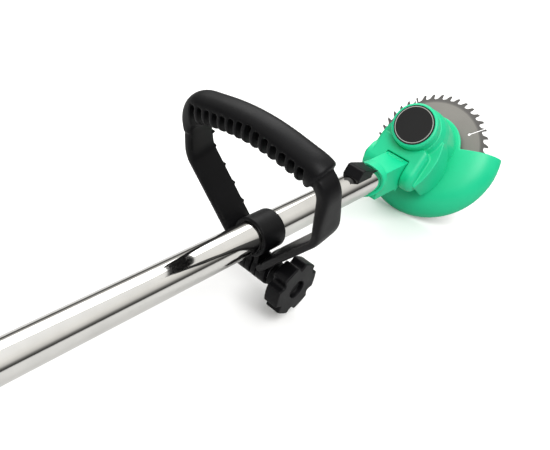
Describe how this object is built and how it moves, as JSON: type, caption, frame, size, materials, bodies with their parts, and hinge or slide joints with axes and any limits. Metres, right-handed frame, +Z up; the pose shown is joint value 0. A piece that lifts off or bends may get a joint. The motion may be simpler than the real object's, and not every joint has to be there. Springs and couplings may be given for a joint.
{
  "type": "brush cutter",
  "caption": "Battery brush cutter: saw blade on a tilting motor head with part guard, chrome shaft, clamped D-handle, rear trigger grip over a slide-on battery pack.",
  "frame": {"origin": "middle of the battery pack's flat underside, which the tool stands on with the guard's rim", "axes": "+X runs forward along the shaft to the blade, +Y is the tool's left, +Z is up"},
  "size_m": [0.9477, 0.1353, 0.1747],
  "materials": {
    "blade_plate": "brushed, ground teeth",
    "spindle_steel": "turned",
    "flange_steel": "turned",
    "bearing_steel": "ground",
    "motor_can": "zinc plated",
    "magnet": "sintered",
    "lamination": "varnished windings",
    "copper": "turned",
    "carbon": "pressed carbon",
    "cast_plate": "die cast",
    "green_plastic": "satin moulded",
    "green_guard": "satin moulded",
    "badge_black": "satin",
    "badge_trim": "printed ring",
    "black_plastic": "fine grained",
    "black_button": "fine grained",
    "screw_steel": "black zinc",
    "spring_steel": "bright",
    "chrome_tube": "polished",
    "cable": "sheathed",
    "soft_grip": "ribbed",
    "knob_plastic": "fine grained",
    "board": "varnished",
    "switch_body": "moulded",
    "lock_red": "moulded",
    "contact": "plated",
    "cell_wrap": "shrink sleeve"
  },
  "bodies": {
    "shaft": {"shaft_tube": "chrome_tube", "hinge_block": "green_plastic", "block_screws": "screw_steel", "tilt_spring": "spring_steel", "wire_loom": "cable", "clamp_ring": "black_plastic", "clamp_bolt": "screw_steel", "bolt_washer": "screw_steel", "rear_shell_left": "black_plastic", "rear_shell_right": "black_plastic", "rear_screws": "screw_steel", "grip_pad": "soft_grip", "trigger_pin": "spindle_steel", "trigger_spring": "spring_steel", "power_switch": "switch_body", "lock_spring": "spring_steel", "control_board": "board", "terminal_block": "contact", "strap_eye": "black_plastic"},
    "head": {"head_shell": "green_plastic", "motor_cap": "green_plastic", "badge": "badge_black", "badge_ring": "badge_trim", "guard": "green_guard", "guard_screws": "screw_steel", "motor_can": "motor_can", "motor_magnets": "magnet", "motor_brushes": "carbon", "motor_mount": "cast_plate", "lower_bearing": "bearing_steel", "upper_bearing": "bearing_steel", "hinge_pin": "spindle_steel"},
    "cutter": {"spindle": "spindle_steel", "armature": "lamination", "commutator": "copper", "inner_flange": "flange_steel", "outer_flange": "flange_steel", "blade": "blade_plate", "blade_nut": "flange_steel"},
    "tilt_button": {"tilt_button": "black_button"},
    "handle": {"front_handle": "black_plastic", "handle_grip": "soft_grip"},
    "knob": {"clamp_knob": "knob_plastic", "knob_nut": "screw_steel"},
    "catch": {"shaft_catch": "black_plastic"},
    "trigger": {"trigger": "black_button"},
    "lock_button": {"lock_button": "lock_red"},
    "battery": {"battery_top": "black_plastic", "battery_base": "black_plastic", "battery_cells": "cell_wrap", "latch_spring": "spring_steel"},
    "latch": {"battery_latch": "lock_red"}
  },
  "joints": [
    {"name": "head_tilt", "type": "hinge", "parent": "shaft", "child": "head", "pos_m": [0.78897, 0, 0.05936], "axis": [0, 1, 0], "range_deg": [0, 45]},
    {"name": "blade_spin", "type": "hinge", "parent": "head", "child": "cutter", "pos_m": [0.85, 0, 0.06409], "axis": [-0.809, 0, 0.5878], "continuous": true},
    {"name": "tilt_release", "type": "slide", "parent": "head", "child": "tilt_button", "axis": [0, -1, 0], "range_m": [0, 0.0026], "stiffness_N_per_m": 800, "springref_m": -0.002},
    {"name": "handle_lean", "type": "hinge", "parent": "shaft", "child": "handle", "pos_m": [0.599, 0, 0.03109], "axis": [0, 1, 0], "range_deg": [-25, 25]},
    {"name": "knob_turn", "type": "hinge", "parent": "shaft", "child": "knob", "pos_m": [0.599, 0, 0.03109], "axis": [0, 1, 0], "continuous": true},
    {"name": "catch_slide", "type": "slide", "parent": "shaft", "child": "catch", "axis": [-1, 0, 0], "range_m": [0, 0.005], "stiffness_N_per_m": 400, "springref_m": -0.003},
    {"name": "trigger_pull", "type": "hinge", "parent": "shaft", "child": "trigger", "pos_m": [0.104, 0, 0.113], "axis": [0, 1, 0], "range_deg": [0, 9], "stiffness_Nm_per_rad": 0.6, "springref_deg": -8.59},
    {"name": "lock_press", "type": "slide", "parent": "shaft", "child": "lock_button", "axis": [0, 0, -1], "range_m": [0, 0.0025], "stiffness_N_per_m": 500, "springref_m": -0.002},
    {"name": "battery_slide", "type": "slide", "parent": "shaft", "child": "battery", "axis": [-1, 0, 0], "range_m": [0, 0.11]},
    {"name": "latch_press", "type": "slide", "parent": "battery", "child": "latch", "axis": [0, 0, -1], "range_m": [0, 0.005], "stiffness_N_per_m": 600, "springref_m": -0.002}
  ]
}
